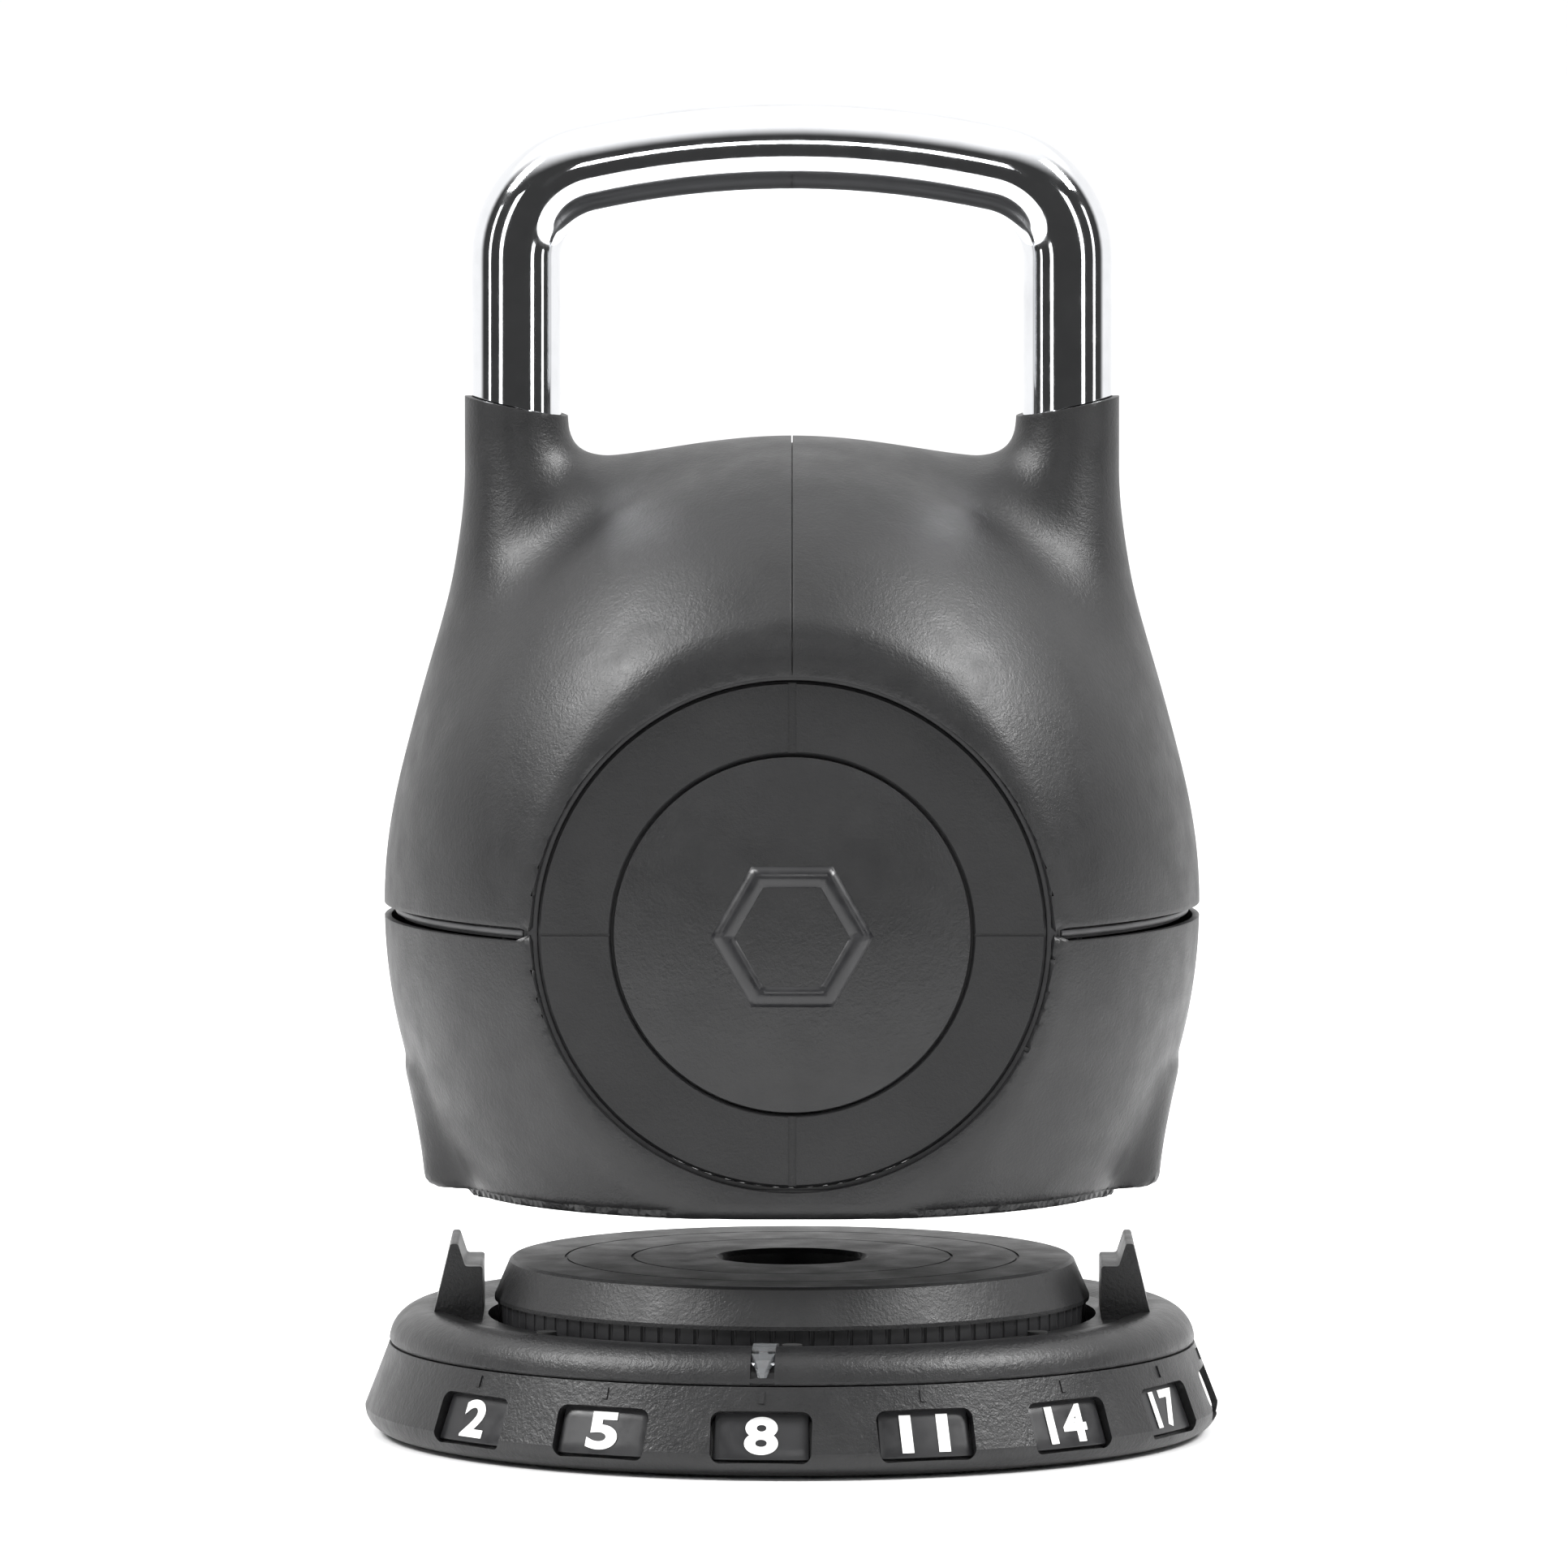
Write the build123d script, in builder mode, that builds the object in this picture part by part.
"""Adjustable kettlebell lifted just clear of its weight-selector base.

Millimetres, +Z up.  The origin is the middle of the base's underside, and the pointer and the
front badge face -Y.  Heights of the kettlebell's own parts are counted from its bottom rim and
raised by bell_floor.
"""
from math import atan2, cos, degrees, radians, sin, sqrt, tan
import os

from build123d import *

os.makedirs("parts", exist_ok=True)

# ------------------------------------------------------------------ driving dimensions
# kettlebell body
body_radius = 120.5          # widest half width, at the equator
equator = 84.6               # height of the equator above the bottom rim
dome_rise = 136.6            # equator to the top of the dome
side_arc = 150.0             # radius of the sides above the equator, seen from the front
bowl_arc = 167.7             # and below it
face_depth = 93.5            # the flat front and back faces are this far from the axis
wall = 3.2                   # moulded shell thickness
shell_gap = 4.0              # open slot between the upper and lower shells
mouth_radius = 91.0          # round opening in the bottom

# handle
grip_radius = 13.4
neck_radius = 11.2           # the legs are turned down where they run inside the horns
tube_bore = 8.0
leg_x = 82.6                 # half the distance between the legs
grip_top = 324.1             # top of the grip above the bottom rim
crown_radius = 300.0         # outer radius of the arched grip
corner_radius = 40.0         # outer radius of the handle's corners
seam_height = 233.6          # where the horns meet the chrome
seam_slant = 12.6            # degrees, lower on the inside

# front and back badges
badge_height = 82.6          # badge centre above the bottom rim
ring_outer = 75.0
ring_inner = 53.4
badge_radius = 52.6
groove = 1.5
badge_rise = 8.0
ledge = 3.0                  # thickness of the seat behind ring and badge

# weight plates and selector
plate_count = 6
plate_radius = 86.0
plate_thickness = 17.4
plate_gap = 0.1
plate_floor = 17.0           # underside of the lowest plate above the bottom rim
step_angle = 22.5            # one weight step
shown_step = 2               # the third number, counted from zero
spindle_radius = 13.0
lug_radius = 19.8
lug_width = 8.0
rod_radius = 5.0
rod_x = 60.0

# base
base_radius = 128.5
base_foot = 0.8              # rubber feet stand out by this much
ring_top = 27.0
ring_top_radius = 121.2
seat_height = 37.0           # bottom rim of the kettlebell when it is parked
lift = 38.4                  # how far it is lifted here
pointer_angle = -4.2         # degrees from the front, positive towards +X
window_width = 30.0
window_height = 15.4
window_level = 13.7
number_count = 7
disc_top = 52.4
disc_bottom = 40.0
disc_radius = 89.5
disc_top_radius = 84.4
disc_hole = 21.5
rib_radius = 88.5
rib_count = 96
collar_bore = 91.5
shelf = 35.4                 # inner shelf of the collar, where the bottom rim sits
crown = 37.6

# prongs of the collar and their pockets
prong_depth = 40.0
prong_top = 58.3
prong_step = 51.5
prong_inside = 92.8
prong_outside = 107.5
pocket_roof = 25.5
pocket_outside = 108.2
pocket_play = 0.8
foot_lift = 2.4              # the side feet end this far above the bottom rim

# small parts
seam_width = 0.4
insert_width = 32.0
insert_height = 6.8
insert_depth = 1.0
band_height = 2.0
band_depth = 2.2
band_reach = 88.0            # the equator strip ends here, beside the badges
screw_seat = 44.0            # heads of the long shell screws bear at this height
screw_shank = 2.1
screw_head = 4.2
screw_hole = 2.8
head_hole = 4.4
pilot_hole = 2.2
post_radius = 5.5
core_length = 190.0
core_width = 88.0
core_corner = 20.0
bolt_radius = 4.9
plug_length = 26.0
bush_radius = 12.0
journal_radius = 9.0
lug_thickness = 4.0
key_side = 12.0
key_height = 7.5
hub_top = 41.0
spindle_end = 5.0
pin_x = 101.0
pin_radius = 3.0
pin_tip = 22.1
boss_height = 9.0
housing_radius = 7.0
housing_height = 18.0
spring_pitch = 2.5
spring_height = 12.0
spring_wire = 0.5
tray_top = 29.0
widest = 8.0
foot_radius = 104.0
number_screw_radius = 106.0
band_inset = 6.8             # the number band lies this far behind the ring's face
band_wall = 1.4
band_below = 8.6             # and reaches this far below and above the middle of the windows
band_above = 9.5
tick_level = 23.8            # small raised tick above each window
tick_width = 1.6
tick_length = 3.6
hub_circle = 50.0            # screws that hold the tray's hub to the plate seat
tray_radius = 118.0
tray_floor = 2.6
tray_screw_head = 4.0
tray_screw_shank = 2.0
tray_screw_length = 14.0
rib_groove = 0.9
detent_inside = 76.0
engraved_circles = (68.0, 48.0)
engraving = 0.8
engraving_depth = 0.5
retainer_outside = 106.0
retainer_inside = 86.0
retainer_thickness = 2.6
pad_circle = 95.3
pad_radius = 3.0
pointer_width = 7.0
mark_radius = 110.0
mark_level = 34.82
plunger_level = 31.5
plunger_radius = 2.4
plunger_length = 9.0
plunger_end = 98.1           # outer end of the click plunger, from the axis
click_gap = 1.5              # the plunger's travel and play, left before the spring
click_wire = 0.3
click_spring_radius = 1.7
click_spring_length = 4.4
click_plug_start = 105.3
click_plug_length = 4.0
retainer_circle = 99.0       # screws that hold the retaining ring to the collar
retainer_screw_radius = 1.5
retainer_screw_length = 8.4

clear = 0.3                  # space left between parts that move past each other

ring_middle = (ring_outer + ring_inner) / 2
bell_floor = seat_height + lift
plate_pitch = plate_thickness + plate_gap
stack_top = plate_floor + plate_count * plate_pitch
core_bottom = 136.0
core_thickness = 6.0
core_top = core_bottom + core_thickness
upper_edge = equator
lower_edge = equator - shell_gap
equator_middle = equator - shell_gap / 2
boss_top = pocket_roof + boss_height


def save(part, name):
    """Name one finished sub-part and write it."""
    part.label = name
    export_step(part, f"parts/{name}.step")


def level(height):
    """A horizontal plane at a height above the kettlebell's bottom rim."""
    return Plane.XY.offset(bell_floor + height)


def around(angle, radius, height=0.0):
    """A point at an angle from the front, positive towards +X."""
    return (radius * sin(radians(angle)), -radius * cos(radians(angle)), height)


# ------------------------------------------------------------------ kettlebell shells
def round_body(inset):
    """The round body with flat front and back, moved in by the inset."""
    middle = bell_floor + equator
    side_x = body_radius - side_arc
    # the dome's top arc is centred on the axis and runs smoothly into the side arc
    top_arc = (side_arc**2 - side_x**2 - dome_rise**2) / (2 * (side_arc - dome_rise))
    top_z = dome_rise - top_arc
    turn = degrees(atan2(top_z, -side_x))
    bowl_x = body_radius - bowl_arc
    bowl_turn = degrees(atan2(equator + 5.0, -bowl_x))
    with BuildPart() as body:
        with BuildSketch(Plane.XZ):
            with BuildLine():
                low = CenterArc((bowl_x, middle), bowl_arc - inset, -bowl_turn, bowl_turn)
                CenterArc((side_x, middle), side_arc - inset, 0, turn)
                top = CenterArc((0, middle + top_z), top_arc - inset, turn, 90 - turn)
                Line(top @ 1, (0, (low @ 0).Y))
                Line((0, (low @ 0).Y), low @ 0)
            make_face()
        revolve(axis=Axis.Z)
        with Locations((0, 0, middle)):
            slab = 2 * (face_depth - inset)
            Box(3 * body_radius, slab, 4 * body_radius, mode=Mode.INTERSECT)
        split(bisect_by=Plane.XY.offset(bell_floor), keep=Keep.TOP)
    return body.part


def horn(side, inset):
    """One horn: ellipses that grow from the handle's leg down into the side of the body."""
    outer_line = [(236.0, 96.2), (220.0, 96.4), (200.0, 97.8), (176.0, 101.2), (150.0, 108.2)]
    inner_line = [69.0, 64.0, 53.0, 44.0, 34.0]
    depth_line = [13.6, 15.4, 21.5, 31.0, 44.0]
    with BuildPart() as piece:
        for (height, outside), inside, depth in zip(outer_line, inner_line, depth_line):
            middle = side * (outside + inside) / 2
            with BuildSketch(Plane((middle, 0, bell_floor + height))):
                Ellipse((outside - inside) / 2 - inset, depth - inset)
        loft()
    return piece.part


def foot(side):
    """The bulge at the bottom corner that holds a prong pocket."""
    with BuildPart() as piece:
        with BuildSketch(level(foot_lift)):
            with Locations((side * 84.0, 0)):
                RectangleRounded(50.6, 56.0, 9.0)
        with BuildSketch(level(26.0)):
            with Locations((side * 86.0, 0)):
                RectangleRounded(52.4, 56.0, 10.0)
        with BuildSketch(level(52.0)):
            with Locations((side * 88.6, 0)):
                RectangleRounded(52.6, 48.0, 14.0)
        loft()
    return piece.part


def badge_seat(side):
    """Ring-shaped ledge behind the front or back badge, with its moulded rim."""
    inside = face_depth - wall - ledge
    with BuildPart() as seat:
        with BuildSketch(Plane.XZ.offset(side * inside)):
            with Locations((0, bell_floor + badge_height)):
                Circle(ring_outer + 4.0)
                Circle(badge_radius - 8.0, mode=Mode.SUBTRACT)
                with PolarLocations(ring_middle, 4, start_angle=45):
                    Circle(1.5, mode=Mode.SUBTRACT)
        extrude(amount=side * (ledge + 0.1))
    return seat.part


def badge_hole(side):
    """The round hole in the flat face that ring and badge fill."""
    with BuildPart() as hole:
        with BuildSketch(Plane.XZ.offset(side * (face_depth - wall))):
            with Locations((0, bell_floor + badge_height)):
                Circle(ring_outer + groove)
        extrude(amount=side * 20.0)
    return hole.part


outer_body = round_body(0.0)
inner_body = round_body(wall)
horns_out = [horn(side, 0.0) for side in (-1, 1)]
horns_in = [horn(side, 2.2) for side in (-1, 1)]
post_spots = [(x, y) for x in (-84.0, 84.0) for y in (-62.0, 62.0)]
core_spots = [(x, y) for x in (-50.0, 50.0) for y in (-36.0, 36.0)]


def seam_plane(side, height):
    """Slanted plane across one leg; its normal points up and inwards."""
    lean = radians(seam_slant)
    origin = (side * leg_x, 0, bell_floor + height)
    return Plane(origin=origin, x_dir=(0, 1, 0), z_dir=(-side * sin(lean), 0, cos(lean)))


def block_above_seam(side, height):
    """Everything near one leg above its slanted seam."""
    with BuildPart() as block:
        with BuildSketch(seam_plane(side, height)):
            Rectangle(80.0, 90.0)
        extrude(amount=50.0)
    return block.part


with BuildPart() as upper_inside:
    # screw posts down to the equator and to the core plate, and the seats of the badges
    with BuildSketch(level(upper_edge)):
        with Locations(*post_spots):
            Circle(post_radius)
    extrude(amount=90.0)
    with BuildSketch(level(core_top + 0.2)):
        with Locations(*core_spots):
            Circle(post_radius)
    extrude(amount=70.0)
    for side in (-1, 1):
        add(badge_seat(side))
    split(bisect_by=level(upper_edge), keep=Keep.TOP)
    add(outer_body, mode=Mode.INTERSECT)
    with BuildSketch(level(upper_edge)):
        with Locations(*post_spots):
            Circle(pilot_hole)
    extrude(amount=30.0, mode=Mode.SUBTRACT)
    with BuildSketch(level(core_top)):
        with Locations(*core_spots):
            Circle(pilot_hole)
    extrude(amount=22.0, mode=Mode.SUBTRACT)

with BuildPart() as upper_shell:
    add(outer_body)
    for piece in horns_out:
        add(piece)
    split(bisect_by=level(upper_edge), keep=Keep.TOP)
    add(inner_body, mode=Mode.SUBTRACT)
    for piece in horns_in:
        add(piece, mode=Mode.SUBTRACT)
    add(upper_inside.part)
    for side in (-1, 1):
        add(badge_hole(side), mode=Mode.SUBTRACT)
    # the horns are bored for the necks of the handle and cut on a slant
    with BuildSketch(level(core_top + 1.0)):
        with Locations((-leg_x, 0), (leg_x, 0)):
            Circle(neck_radius + 0.1)
    extrude(amount=seam_height, mode=Mode.SUBTRACT)
    for side in (-1, 1):
        add(block_above_seam(side, seam_height - clear / 2), mode=Mode.SUBTRACT)

for name, side in (("upper_shell_left", -1), ("upper_shell_right", 1)):
    with BuildPart() as half:
        add(upper_shell.part)
        keep = Keep.TOP if side > 0 else Keep.BOTTOM
        split(bisect_by=Plane.YZ.offset(side * seam_width / 2), keep=keep)
    save(half.part, name)


# ------------------------------------------------------------------ lower shell
feet_out = [foot(side) for side in (-1, 1)]

with BuildPart() as lower_inside:
    with BuildSketch(level(0.0)):
        with Locations(*post_spots):
            Circle(post_radius)
    extrude(amount=lower_edge)
    # walls and roof of the two prong pockets, and the bosses that guide the lock pins
    with BuildSketch(level(0.0)):
        with Locations((-pin_x, 0), (pin_x, 0)):
            Rectangle(26.0, 2 * (prong_depth / 2 + pocket_play + wall))
    extrude(amount=pocket_roof + wall)
    with BuildSketch(level(pocket_roof)):
        with Locations((-pin_x, 0), (pin_x, 0)):
            Circle(housing_radius)
    extrude(amount=boss_height)
    # thick rim round the mouth
    with BuildSketch(level(0.0)):
        Circle(body_radius)
        Circle(mouth_radius, mode=Mode.SUBTRACT)
    extrude(amount=6.0)
    for side in (-1, 1):
        add(badge_seat(side))
    split(bisect_by=level(lower_edge), keep=Keep.BOTTOM)

with BuildPart() as lower_outside:
    add(outer_body)
    for piece in feet_out:
        add(piece)
    split(bisect_by=level(lower_edge), keep=Keep.BOTTOM)

with BuildPart() as lower_core:
    add(lower_inside.part)
    add(lower_outside.part, mode=Mode.INTERSECT)

with BuildPart() as lower_shell:
    add(lower_outside.part)
    add(inner_body, mode=Mode.SUBTRACT)
    add(lower_core.part)
    for side in (-1, 1):
        add(badge_hole(side), mode=Mode.SUBTRACT)
    with BuildSketch(level(0.0)):
        Circle(mouth_radius)
    extrude(amount=plate_floor, mode=Mode.SUBTRACT)
    # prong pockets, open below
    with BuildSketch(level(-1.0)):
        for side in (-1, 1):
            with Locations((side * (pocket_outside - 12.0), 0)):
                Rectangle(24.0, prong_depth + 2 * pocket_play)
    extrude(amount=pocket_roof + 1.0, mode=Mode.SUBTRACT)
    with BuildSketch(level(pocket_roof - 1.0)):
        with Locations((-pin_x, 0), (pin_x, 0)):
            Circle(pin_radius + 0.05)
    extrude(amount=20.0, mode=Mode.SUBTRACT)
    # screw holes from below, with room for the heads
    with BuildSketch(level(0.0)):
        with Locations(*post_spots):
            Circle(screw_hole)
    extrude(amount=lower_edge, mode=Mode.SUBTRACT)
    with BuildSketch(level(0.0)):
        with Locations(*post_spots):
            Circle(head_hole)
    extrude(amount=screw_seat, mode=Mode.SUBTRACT)
    # shallow seat for the small insert in the front rim
    with BuildSketch(Plane.XZ.offset(face_depth)):
        with Locations((0, bell_floor + insert_height / 2)):
            Rectangle(insert_width + 0.6, insert_height + 0.6)
    extrude(amount=-insert_depth, mode=Mode.SUBTRACT)
save(lower_shell.part, "lower_shell")

with BuildPart() as rim_insert:
    with BuildSketch(Plane.XZ.offset(face_depth + 0.4)):
        with BuildLine():
            half = insert_width / 2
            top = bell_floor + insert_height
            Polyline((-half, bell_floor), (half, bell_floor), (half, top - 2.0),
                     (half - 2.0, top), (2.0 - half, top), (-half, top - 2.0), close=True)
        make_face()
    extrude(amount=-insert_depth - 0.2)
save(rim_insert.part, "rim_insert")

# strip in the slot between the shells, left and right of the badges
for name, side in (("equator_band_left", -1), ("equator_band_right", 1)):
    with BuildPart() as band:
        with BuildSketch(level(lower_edge)):
            Circle(body_radius - wall)
            Circle(body_radius - 2 * wall, mode=Mode.SUBTRACT)
        extrude(amount=shell_gap)
        with BuildSketch(level(equator_middle - band_height / 2)):
            Circle(body_radius - band_depth)
            Circle(body_radius - 2 * wall, mode=Mode.SUBTRACT)
        extrude(amount=band_height)
        with Locations((0, 0, bell_floor + equator_middle)):
            Box(4 * body_radius, 2 * band_reach, 20.0, mode=Mode.INTERSECT)
        split(bisect_by=Plane.YZ, keep=Keep.TOP if side > 0 else Keep.BOTTOM)
    save(band.part, name)


# ------------------------------------------------------------------ badges
def badge_ring(side):
    """Flat trim ring with four shallow lines across it."""
    with BuildPart() as ring:
        with BuildSketch(Plane.XZ.offset(side * (face_depth - 0.2))):
            with Locations((0, bell_floor + badge_height)):
                Circle(ring_outer)
                Circle(ring_inner, mode=Mode.SUBTRACT)
        extrude(amount=-side * (wall - 0.3))
        edges = ring.faces().sort_by(Axis.Y)[0 if side > 0 else -1].edges()
        chamfer(edges, 0.8)
        with BuildSketch(Plane.XZ.offset(side * (face_depth - wall))):
            with Locations((0, bell_floor + badge_height)):
                with PolarLocations(ring_middle, 4, start_angle=45):
                    Circle(1.5)
        extrude(amount=side * 2.4, mode=Mode.SUBTRACT)
        with BuildSketch(Plane.XZ.offset(side * face_depth)):
            with Locations((0, bell_floor + badge_height)):
                Rectangle(4 * ring_outer, 0.8)
                Rectangle(2.4, 4 * ring_outer)
        extrude(amount=-side * 0.5, mode=Mode.SUBTRACT)
    return ring.part


def badge(side):
    """Domed badge: the cap of a large ball, with a straight edge."""
    ball = (badge_radius**2 + badge_rise**2) / (2 * badge_rise)
    face = face_depth
    with BuildPart() as disc:
        with BuildSketch(Plane.XZ.offset(side * (face - wall + 0.1))):
            with Locations((0, bell_floor + badge_height)):
                Circle(badge_radius)
        extrude(amount=side * 20.0)
        with Locations((0, -side * (face + badge_rise - ball), bell_floor + badge_height)):
            Sphere(ball, mode=Mode.INTERSECT)
    return disc.part


for name, side in (("front", 1), ("back", -1)):
    save(badge_ring(side), f"{name}_ring")
    save(badge(side), f"{name}_badge")

with BuildPart() as ring_screws:
    for side in (-1, 1):
        inside = face_depth - wall - ledge - 1.0
        with BuildSketch(Plane.XZ.offset(side * inside)):
            with Locations((0, bell_floor + badge_height)):
                with PolarLocations(ring_middle, 4, start_angle=45):
                    Circle(2.6)
        extrude(amount=side * 0.9)
        with BuildSketch(Plane.XZ.offset(side * inside)):
            with Locations((0, bell_floor + badge_height)):
                with PolarLocations(ring_middle, 4, start_angle=45):
                    Circle(1.4)
        extrude(amount=side * (ledge + 2.8))
save(ring_screws.part, "ring_screws")


# ------------------------------------------------------------------ handle and core
def handle_path():
    """Centre line of the right half of the handle, from its neck to the crown, mirrored."""
    crown_z = bell_floor + grip_top - crown_radius
    corner_x = leg_x + grip_radius - corner_radius
    reach = crown_radius - corner_radius
    corner_z = crown_z + sqrt(reach**2 - corner_x**2)
    turn = degrees(atan2(corner_z - crown_z, corner_x))
    with BuildLine(Plane.XZ) as path:
        Line((leg_x, bell_floor + seam_height - 8.0), (leg_x, corner_z))
        CenterArc((corner_x, corner_z), corner_radius - grip_radius, 0, turn)
        CenterArc((0, crown_z), crown_radius - grip_radius, turn, 180 - 2 * turn)
        CenterArc((-corner_x, corner_z), corner_radius - grip_radius, 180 - turn, turn)
        Line((-leg_x, corner_z), (-leg_x, bell_floor + seam_height - 8.0))
    return path.line


grip_line = handle_path()
with BuildPart() as handle:
    with BuildSketch(Plane(origin=grip_line @ 0, z_dir=grip_line % 0)):
        Circle(grip_radius)
    sweep(path=grip_line)
    for side in (-1, 1):
        with BuildSketch(seam_plane(side, seam_height + clear / 2)):
            Rectangle(60.0, 60.0)
        extrude(amount=-40.0, mode=Mode.SUBTRACT)
    with BuildSketch(level(core_top + 0.1)):
        with Locations((-leg_x, 0), (leg_x, 0)):
            Circle(neck_radius)
    extrude(amount=seam_height + 8.0 - core_top)
    with BuildSketch(level(core_top + 0.1)):
        with Locations((-leg_x, 0), (leg_x, 0)):
            Circle(tube_bore)
    extrude(amount=seam_height - core_top, mode=Mode.SUBTRACT)
save(handle.part, "handle_grip")

with BuildPart() as handle_plugs:
    with BuildSketch(level(core_top + 0.1)):
        with Locations((-leg_x, 0), (leg_x, 0)):
            Circle(tube_bore - 0.05)
            Circle(bolt_radius + 0.05, mode=Mode.SUBTRACT)
    extrude(amount=plug_length)
save(handle_plugs.part, "handle_plugs")

with BuildPart() as core_plate:
    with BuildSketch(level(core_bottom)):
        RectangleRounded(core_length, core_width, core_corner)
        Circle(bush_radius, mode=Mode.SUBTRACT)
        with Locations((-leg_x, 0), (leg_x, 0)):
            Circle(bolt_radius + 0.4, mode=Mode.SUBTRACT)
        with Locations(*core_spots):
            Circle(screw_hole, mode=Mode.SUBTRACT)
        with Locations((-rod_x, 0), (rod_x, 0)):
            Circle(rod_radius, mode=Mode.SUBTRACT)
        with Locations((0, -30.0), (0, 30.0)):
            SlotOverall(60.0, 14.0, mode=Mode.SUBTRACT)
    extrude(amount=core_thickness)
save(core_plate.part, "core_plate")

with BuildPart() as handle_bolts:
    with BuildSketch(level(core_bottom - 6.0)):
        with Locations((-leg_x, 0), (leg_x, 0)):
            Circle(8.0)
            RegularPolygon(4.0, 6, mode=Mode.SUBTRACT)
    extrude(amount=6.0)
    with BuildSketch(level(core_bottom - 2.0)):
        with Locations((-leg_x, 0), (leg_x, 0)):
            Circle(bolt_radius)
    extrude(amount=plug_length)
save(handle_bolts.part, "handle_bolts")

with BuildPart() as core_screws:
    with BuildSketch(level(core_bottom - 3.0)):
        with Locations(*core_spots):
            Circle(screw_head)
            RegularPolygon(2.0, 6, mode=Mode.SUBTRACT)
    extrude(amount=3.0)
    with BuildSketch(level(core_bottom - 1.0)):
        with Locations(*core_spots):
            Circle(screw_shank)
    extrude(amount=24.0)
save(core_screws.part, "core_screws")

with BuildPart() as shell_screws:
    with BuildSketch(level(screw_seat - 4.0)):
        with Locations(*post_spots):
            Circle(screw_head)
            RegularPolygon(2.0, 6, mode=Mode.SUBTRACT)
    extrude(amount=4.0)
    with BuildSketch(level(screw_seat - 1.5)):
        with Locations(*post_spots):
            Circle(screw_shank)
    extrude(amount=upper_edge + 24.0 - screw_seat)
save(shell_screws.part, "shell_screws")

with BuildPart() as guide_rods:
    with BuildSketch(level(plate_floor + 2.0)):
        with Locations((-rod_x, 0), (rod_x, 0)):
            Circle(rod_radius)
    extrude(amount=core_top - plate_floor - 2.0)
    chamfer(guide_rods.faces().sort_by(Axis.Z)[0:2].edges(), 1.5)
save(guide_rods.part, "guide_rods")


# ------------------------------------------------------------------ weight plates and spindle
def weight_plate(number):
    """Plate counted from the top; its hole lets the lugs fall through up to its own step."""
    bottom = plate_floor + (plate_count - number) * plate_pitch
    first = shown_step * step_angle
    last = first - (number - 1) * step_angle
    span = first - last + 36.0
    with BuildPart() as plate:
        with BuildSketch(level(bottom)):
            Circle(plate_radius)
            Circle(spindle_radius + 0.6, mode=Mode.SUBTRACT)
            with Locations((-rod_x, 0), (rod_x, 0)):
                Circle(rod_radius + 0.6, mode=Mode.SUBTRACT)
        extrude(amount=plate_thickness)
        rims = plate.edges().filter_by(GeomType.CIRCLE).filter_by(lambda edge: edge.radius > 80)
        chamfer(rims, 1.5)
        # two opposite sectors for the lugs
        for turn in (0, 180):
            start = turn + last - 18.0
            with BuildSketch(level(bottom)):
                with BuildLine():
                    arc = CenterArc((0, 0), lug_radius + 0.8, start, span)
                    Line(arc @ 1, (0, 0))
                    Line((0, 0), arc @ 0)
                make_face()
            extrude(amount=plate_thickness, mode=Mode.SUBTRACT)
        # recess under the hole, where the lugs turn
        with BuildSketch(level(bottom)):
            Circle(lug_radius + 0.8)
        extrude(amount=lug_thickness + 2.0, mode=Mode.SUBTRACT)
    return plate.part


for number in range(1, plate_count + 1):
    save(weight_plate(number), f"weight_plate_{number}")

with BuildPart() as spindle:
    with BuildSketch(level(spindle_end)):
        Circle(spindle_radius)
    extrude(amount=core_bottom - 3.0 - spindle_end)
    with BuildSketch(level(core_bottom - 3.0)):
        Circle(journal_radius)
    extrude(amount=core_thickness + 12.0)
    for number in range(1, plate_count + 1):
        bottom = plate_floor + (plate_count - number) * plate_pitch
        with BuildSketch(level(bottom + 1.0)):
            Circle(lug_radius)
            Rectangle(2 * lug_radius, lug_width, mode=Mode.INTERSECT)
        extrude(amount=lug_thickness)
    with BuildSketch(level(spindle_end)):
        Rectangle(key_side + 0.6, key_side + 0.6)
    extrude(amount=key_height + 1.5, mode=Mode.SUBTRACT)
save(spindle.part, "selector_spindle")

with BuildPart() as bush:
    with BuildSketch(level(core_bottom - 2.5)):
        Circle(bush_radius + 4.0)
    extrude(amount=2.5)
    with BuildSketch(level(core_bottom - 1.0)):
        Circle(bush_radius)
    extrude(amount=core_thickness + 3.0)
    with BuildSketch(level(core_bottom - 3.0)):
        Circle(journal_radius + 0.05)
    extrude(amount=core_thickness + 10.0, mode=Mode.SUBTRACT)
save(bush.part, "spindle_bush")

with BuildPart() as clip:
    with BuildSketch(level(core_top + 2.5)):
        Circle(journal_radius + 5.0)
        Circle(journal_radius, mode=Mode.SUBTRACT)
    extrude(amount=2.0)
save(clip.part, "spindle_clip")


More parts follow.
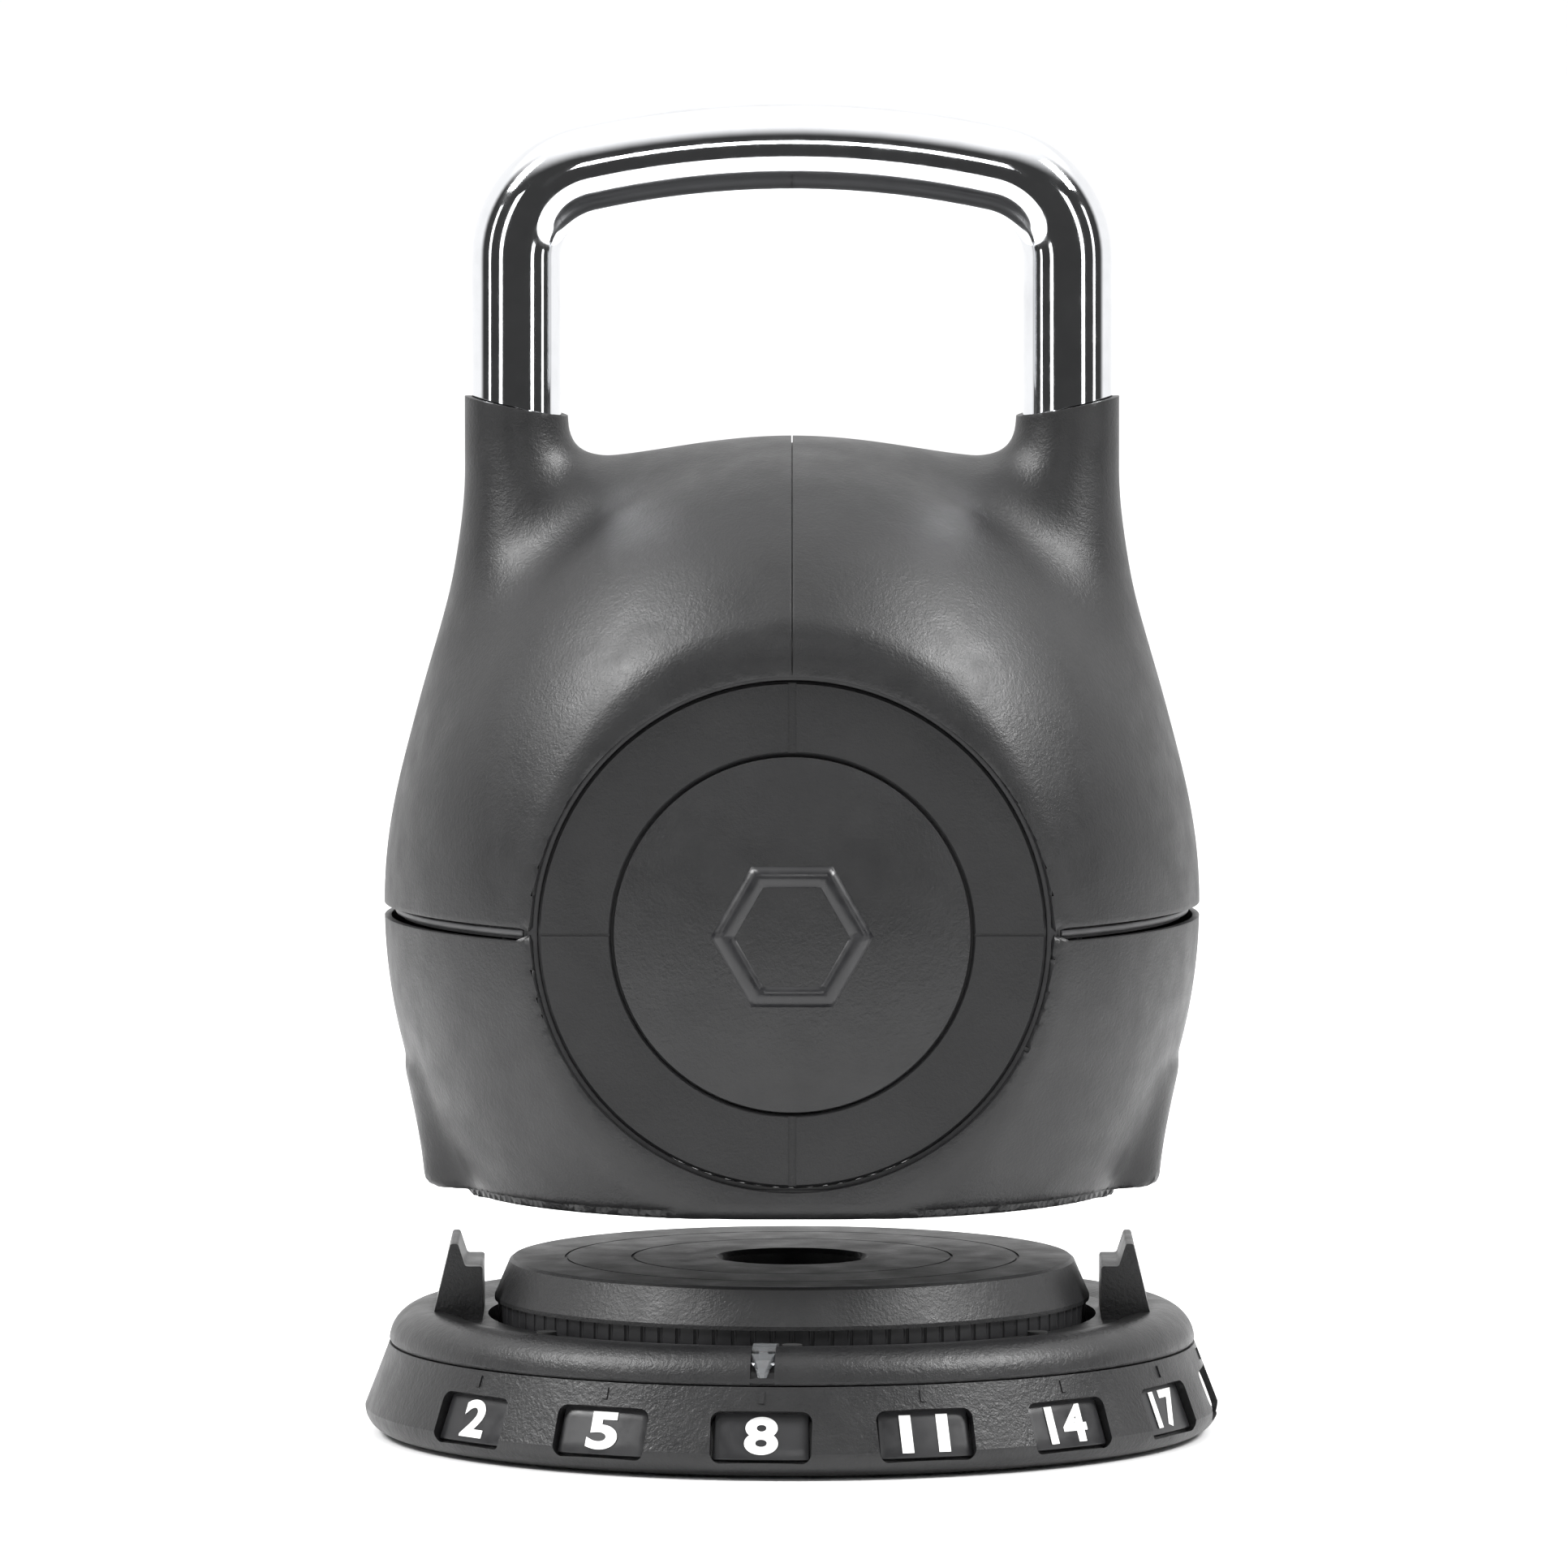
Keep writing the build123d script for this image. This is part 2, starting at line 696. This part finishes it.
# ------------------------------------------------------------------ lock pins
for name, side in (("left", -1), ("right", 1)):
    with BuildPart() as pin:
        with BuildSketch(level(pin_tip)):
            with Locations((side * pin_x, 0)):
                Circle(pin_radius)
        extrude(amount=boss_top + 8.0 - pin_tip)
        with BuildSketch(level(boss_top + 0.1)):
            with Locations((side * pin_x, 0)):
                Circle(pin_radius + 2.2)
        extrude(amount=2.4)
        fillet(pin.faces().sort_by(Axis.Z)[0].edges(), 1.2)
    save(pin.part, f"lock_pin_{name}")

    with BuildPart() as housing:
        with BuildSketch(level(boss_top)):
            with Locations((side * pin_x, 0)):
                Circle(housing_radius)
                Circle(housing_radius - 1.2, mode=Mode.SUBTRACT)
        extrude(amount=housing_height)
        with BuildSketch(level(boss_top + housing_height - 2.0)):
            with Locations((side * pin_x, 0)):
                Circle(housing_radius)
        extrude(amount=2.0)
    save(housing.part, f"lock_housing_{name}")

    with BuildPart() as spring:
        start = level(boss_top + 3.2)
        with BuildLine(Plane((side * pin_x, 0, start.origin.Z))) as coil:
            Helix(pitch=spring_pitch, height=spring_height, radius=pin_radius + 1.3)
        with BuildSketch(Plane(origin=coil.line @ 0, z_dir=coil.line % 0)):
            Circle(spring_wire)
        sweep(path=coil.line, is_frenet=True)
    save(spring.part, f"lock_spring_{name}")


# ------------------------------------------------------------------ base
with BuildPart() as tray:
    with BuildSketch(Plane.XY.offset(base_foot + 1.2)):
        Circle(tray_radius)
    extrude(amount=tray_floor)
    floor_top = base_foot + 3.8
    with BuildSketch(Plane.XY.offset(floor_top)):
        Circle(84.0)
        Circle(80.0, mode=Mode.SUBTRACT)
        Circle(26.0)
        Circle(21.0, mode=Mode.SUBTRACT)
        with PolarLocations(hub_circle, 4, start_angle=45):
            Circle(6.0)
    extrude(amount=tray_top - floor_top)
    # radial ribs between the hub and the outer wall of the tray
    with BuildSketch(Plane.XY.offset(floor_top)):
        with PolarLocations(53.0, 8):
            Rectangle(56.0, 2.4)
    extrude(amount=12.0)
    with BuildSketch(Plane.XY.offset(floor_top)):
        with PolarLocations(number_screw_radius, 6, start_angle=30):
            Circle(5.0)
    extrude(amount=6.0)
    with BuildSketch(Plane.XY):
        with PolarLocations(hub_circle, 4, start_angle=45):
            Circle(2.4)
        with PolarLocations(number_screw_radius, 6, start_angle=30):
            Circle(2.4)
    extrude(amount=60.0, mode=Mode.SUBTRACT)
    with BuildSketch(Plane.XY):
        with PolarLocations(foot_radius, 6):
            Circle(8.2)
    extrude(amount=base_foot + 1.8, mode=Mode.SUBTRACT)
save(tray.part, "base_tray")

with BuildPart() as feet:
    with BuildSketch(Plane.XY):
        with PolarLocations(foot_radius, 6):
            Circle(8.0)
    extrude(amount=base_foot + 1.8)
save(feet.part, "rubber_feet")

with BuildPart() as tray_screws:
    for radius, count, start in ((hub_circle, 4, 45), (number_screw_radius, 6, 30)):
        with BuildSketch(Plane.XY.offset(base_foot)):
            with PolarLocations(radius, count, start_angle=start):
                Circle(tray_screw_head)
                RegularPolygon(1.8, 6, mode=Mode.SUBTRACT)
        extrude(amount=1.2)
        with BuildSketch(Plane.XY.offset(base_foot + 0.8)):
            with PolarLocations(radius, count, start_angle=start):
                Circle(tray_screw_shank)
        extrude(amount=tray_screw_length)
save(tray_screws.part, "tray_screws")

slope = atan2(base_radius - ring_top_radius, ring_top - widest)


def slope_plane(angle, height, raise_by=0.0):
    """Plane on the number ring's slanted face, its normal pointing out."""
    radius = base_radius - (height - widest) * tan(slope) + raise_by
    place = around(angle, radius, height)
    out = (sin(radians(angle)) * cos(slope), -cos(radians(angle)) * cos(slope), sin(slope))
    along = (cos(radians(angle)), sin(radians(angle)), 0)
    return Plane(origin=place, x_dir=along, z_dir=out)


number_angles = [pointer_angle + step_angle * (index - shown_step) for index in range(number_count)]

with BuildPart() as number_ring:
    with BuildSketch(Plane.XZ):
        with BuildLine():
            Polyline((ring_top_radius - 9.5, ring_top), (ring_top_radius, ring_top),
                     (base_radius, widest))
            RadiusArc((base_radius, widest), (base_radius - 7.0, base_foot), 7.2)
            Polyline((base_radius - 7.0, base_foot), (118.3, base_foot), (118.3, 3.4),
                     (base_radius - 5.2, 4.6), (base_radius - 4.2, widest),
                     (ring_top_radius - 2.9, ring_top - 2.4),
                     (ring_top_radius - 9.5, ring_top - 2.4), (ring_top_radius - 9.5, ring_top))
        make_face()
    revolve(axis=Axis.Z)
    for angle in number_angles:
        with BuildSketch(slope_plane(angle, window_level, 2.0)):
            RectangleRounded(window_width, window_height, 3.0)
        extrude(amount=-6.5, mode=Mode.SUBTRACT)
        with BuildSketch(slope_plane(angle, tick_level, -0.4)):
            Rectangle(tick_width, tick_length)
        extrude(amount=0.8)
save(number_ring.part, "number_ring")

with BuildPart() as number_band:
    with BuildSketch(Plane.XZ):
        with BuildLine():
            low_z = window_level - band_below
            high_z = window_level + band_above
            low = (base_radius - (low_z - widest) * tan(slope) - band_inset, low_z)
            high = (base_radius - (high_z - widest) * tan(slope) - band_inset, high_z)
            Polyline(low, high, (high[0] - band_wall, high_z), (low[0] - band_wall, low_z),
                     close=True)
        make_face()
    revolve(axis=Axis.Z)
save(number_band.part, "number_band")

with BuildPart() as disc:
    with BuildSketch(Plane.XZ):
        with BuildLine():
            Polyline((disc_hole, disc_bottom), (disc_radius, disc_bottom),
                     (disc_radius, disc_bottom + 1.2), (disc_top_radius + 0.6, disc_top - 0.8),
                     (disc_top_radius - 0.4, disc_top), (disc_hole + 1.5, disc_top),
                     (disc_hole, disc_top - 1.5), close=True)
        make_face()
    revolve(axis=Axis.Z)
    # two engraved circles on top
    with BuildSketch(Plane.XY.offset(disc_top)):
        for radius in engraved_circles:
            Circle(radius + engraving / 2)
            Circle(radius - engraving / 2, mode=Mode.SUBTRACT)
    extrude(amount=-engraving_depth, mode=Mode.SUBTRACT)
    with BuildSketch(Plane.XY.offset(disc_bottom)):
        with PolarLocations(hub_circle, 4, start_angle=45):
            Circle(tray_screw_shank + 0.1)
    extrude(amount=8.0, mode=Mode.SUBTRACT)
save(disc.part, "plate_seat")

with BuildPart() as detent:
    with BuildSketch(Plane.XY.offset(tray_top)):
        Circle(rib_radius)
        with PolarLocations(rib_radius + 0.3, rib_count):
            Circle(rib_groove, mode=Mode.SUBTRACT)
        Circle(detent_inside, mode=Mode.SUBTRACT)
    extrude(amount=disc_bottom - tray_top)
save(detent.part, "detent_ring")

with BuildPart() as drive_key:
    with BuildSketch(Plane.XY.offset(base_foot + 3.8)):
        Circle(20.8)
    extrude(amount=hub_top - base_foot - 3.8)
    with BuildSketch(Plane.XY.offset(hub_top)):
        Rectangle(key_side, key_side)
    extrude(amount=key_height)
    chamfer(drive_key.faces().sort_by(Axis.Z)[-1].edges(), 1.0)
save(drive_key.part, "drive_key")


# ------------------------------------------------------------------ turning collar
def radial_plane(angle, shift=0.0):
    """Upright plane through the axis: its x runs outwards at the angle, its y is height."""
    turn = radians(angle)
    outwards = (sin(turn), -cos(turn), 0)
    return Plane(origin=(0, 0, 0), x_dir=outwards, z_dir=(-cos(turn), -sin(turn), 0)).offset(shift)


def pointer_band(raise_top, raise_bottom):
    """Cross-section of the pointer: a band that follows the collar from its shelf to its lip."""
    line = [(100.5, 36.8), (103.5, 37.2), (108.0, crown), (112.0, 37.0), (115.5, 35.8),
            (118.4, 33.9), (121.0, 30.0)]
    upper = [(r, z + raise_top) for r, z in line]
    lower = [(r, z + raise_bottom) for r, z in reversed(line)]
    return upper + lower


def prong(side):
    """One moulded prong: a stepped blade, as seen from the front, made deep along Y."""
    with BuildPart() as blade:
        with BuildSketch(Plane.XZ.offset(prong_depth / 2)):
            with BuildLine():
                points = [(prong_inside, shelf - 3.0), (prong_inside, prong_step),
                          (98.0, prong_step), (100.2, prong_top), (102.4, prong_top),
                          (prong_outside, crown - 0.5), (prong_outside, shelf - 3.0)]
                Polyline(*[(side * x, z) for x, z in points], close=True)
            make_face()
        extrude(amount=-prong_depth)
        tops = blade.edges().filter_by(Axis.Y).filter_by(
            lambda edge: edge.center().Z > prong_step - 1.0)
        fillet(tops, 0.9)
    return blade.part


with BuildPart() as collar:
    with BuildSketch(Plane.XZ):
        with BuildLine():
            Line((collar_bore, ring_top + clear), (ring_top_radius - 0.6, ring_top + clear))
            Line((ring_top_radius - 0.6, ring_top + clear), (ring_top_radius, ring_top + 1.4))
            ThreePointArc((ring_top_radius, ring_top + 1.4), (118.4, 34.6), (108.0, crown))
            ThreePointArc((108.0, crown), (103.5, 36.9), (100.0, shelf))
            Polyline((100.0, shelf), (collar_bore, shelf), (collar_bore, ring_top + clear))
        make_face()
    revolve(axis=Axis.Z)
    for side in (-1, 1):
        add(prong(side))
    # slot for the clear pointer, radial hole for the click plunger
    with BuildSketch(radial_plane(pointer_angle, -pointer_width / 2 - 0.1)):
        with BuildLine():
            Polyline(*pointer_band(9.0, -3.0), close=True)
        make_face()
    extrude(amount=pointer_width + 0.2, mode=Mode.SUBTRACT)
    with BuildSketch(Plane.XZ.offset(-collar_bore + 2.0)):
        with Locations((0, plunger_level)):
            Circle(plunger_radius + 0.05)
    extrude(amount=-22.0, mode=Mode.SUBTRACT)
    # blind holes for the retaining ring's screws
    with BuildSketch(Plane.XY.offset(ring_top)):
        with PolarLocations(retainer_circle, 6, start_angle=15):
            Circle(retainer_screw_radius + 0.1)
    extrude(amount=retainer_screw_length - 3.0, mode=Mode.SUBTRACT)
save(collar.part, "turning_collar")


with BuildPart() as pointer:
    with BuildSketch(radial_plane(pointer_angle, -pointer_width / 2)):
        with BuildLine():
            Polyline(*pointer_band(0.8, -2.0), close=True)
        make_face()
    extrude(amount=pointer_width)
    # the front end narrows to an arrow
    with BuildSketch(Plane(origin=(0, 0, 20.0), x_dir=around(pointer_angle, 1.0), z_dir=(0, 0, 1))):
        with BuildLine():
            half = pointer_width / 2
            Polyline((95.0, -half), (113.0, -half), (113.0, -1.3), (116.0, -1.3), (116.0, -half),
                     (121.5, -0.4), (121.5, 0.4), (116.0, half), (116.0, 1.3), (113.0, 1.3),
                     (113.0, half), (95.0, half), close=True)
        make_face()
    extrude(amount=30.0, mode=Mode.INTERSECT)
save(pointer.part, "pointer_window")

with BuildPart() as mark:
    with BuildSketch(radial_plane(pointer_angle, -1.2)):
        with Locations((mark_radius, mark_level)):
            Rectangle(3.4, 0.4)
    extrude(amount=2.4)
save(mark.part, "pointer_mark")

# ring under the collar that hooks below the ribbed ring, so that the collar can't lift off
with BuildPart() as retainer:
    with BuildSketch(Plane.XY.offset(ring_top + clear - retainer_thickness)):
        Circle(retainer_outside)
        Circle(retainer_inside, mode=Mode.SUBTRACT)
        with PolarLocations(retainer_circle, 6, start_angle=15):
            Circle(retainer_screw_radius + 0.3, mode=Mode.SUBTRACT)
    extrude(amount=retainer_thickness)
save(retainer.part, "collar_retainer")

with BuildPart() as retainer_screws:
    with BuildSketch(Plane.XY.offset(ring_top + clear - 4.2)):
        with PolarLocations(retainer_circle, 6, start_angle=15):
            Circle(3.0)
            RegularPolygon(1.4, 6, mode=Mode.SUBTRACT)
    extrude(amount=1.6)
    with BuildSketch(Plane.XY.offset(ring_top + clear - 3.4)):
        with PolarLocations(retainer_circle, 6, start_angle=15):
            Circle(retainer_screw_radius)
    extrude(amount=retainer_screw_length)
save(retainer_screws.part, "retainer_screws")

with BuildPart() as seat_pads:
    with BuildSketch(Plane.XY.offset(shelf)):
        for start in (40, 220):
            with PolarLocations(pad_circle, 3, start_angle=start, angular_range=100, endpoint=True):
                Circle(pad_radius)
    extrude(amount=seat_height - shelf - clear)
save(seat_pads.part, "seat_pads")

# click plunger at the back of the collar, with its spring and screw plug
with BuildPart() as plunger:
    with BuildSketch(Plane.XZ.offset(plunger_length - plunger_end)):
        with Locations((0, plunger_level)):
            Circle(plunger_radius)
    extrude(amount=-plunger_length)
    fillet(plunger.faces().sort_by(Axis.Y)[0].edges(), 1.2)
save(plunger.part, "click_plunger")

with BuildPart() as click_spring:
    with BuildLine() as coil:
        Helix(pitch=1.5, height=click_spring_length, radius=click_spring_radius,
              center=(0, plunger_end + click_gap + click_wire, plunger_level), direction=(0, 1, 0))
    with BuildSketch(Plane(origin=coil.line @ 0, z_dir=coil.line % 0)):
        Circle(click_wire)
    sweep(path=coil.line, is_frenet=True)
save(click_spring.part, "click_spring")

with BuildPart() as plug:
    with BuildSketch(Plane.XZ.offset(-click_plug_start)):
        with Locations((0, plunger_level)):
            Circle(plunger_radius)
    extrude(amount=-click_plug_length)
save(plug.part, "click_plug")
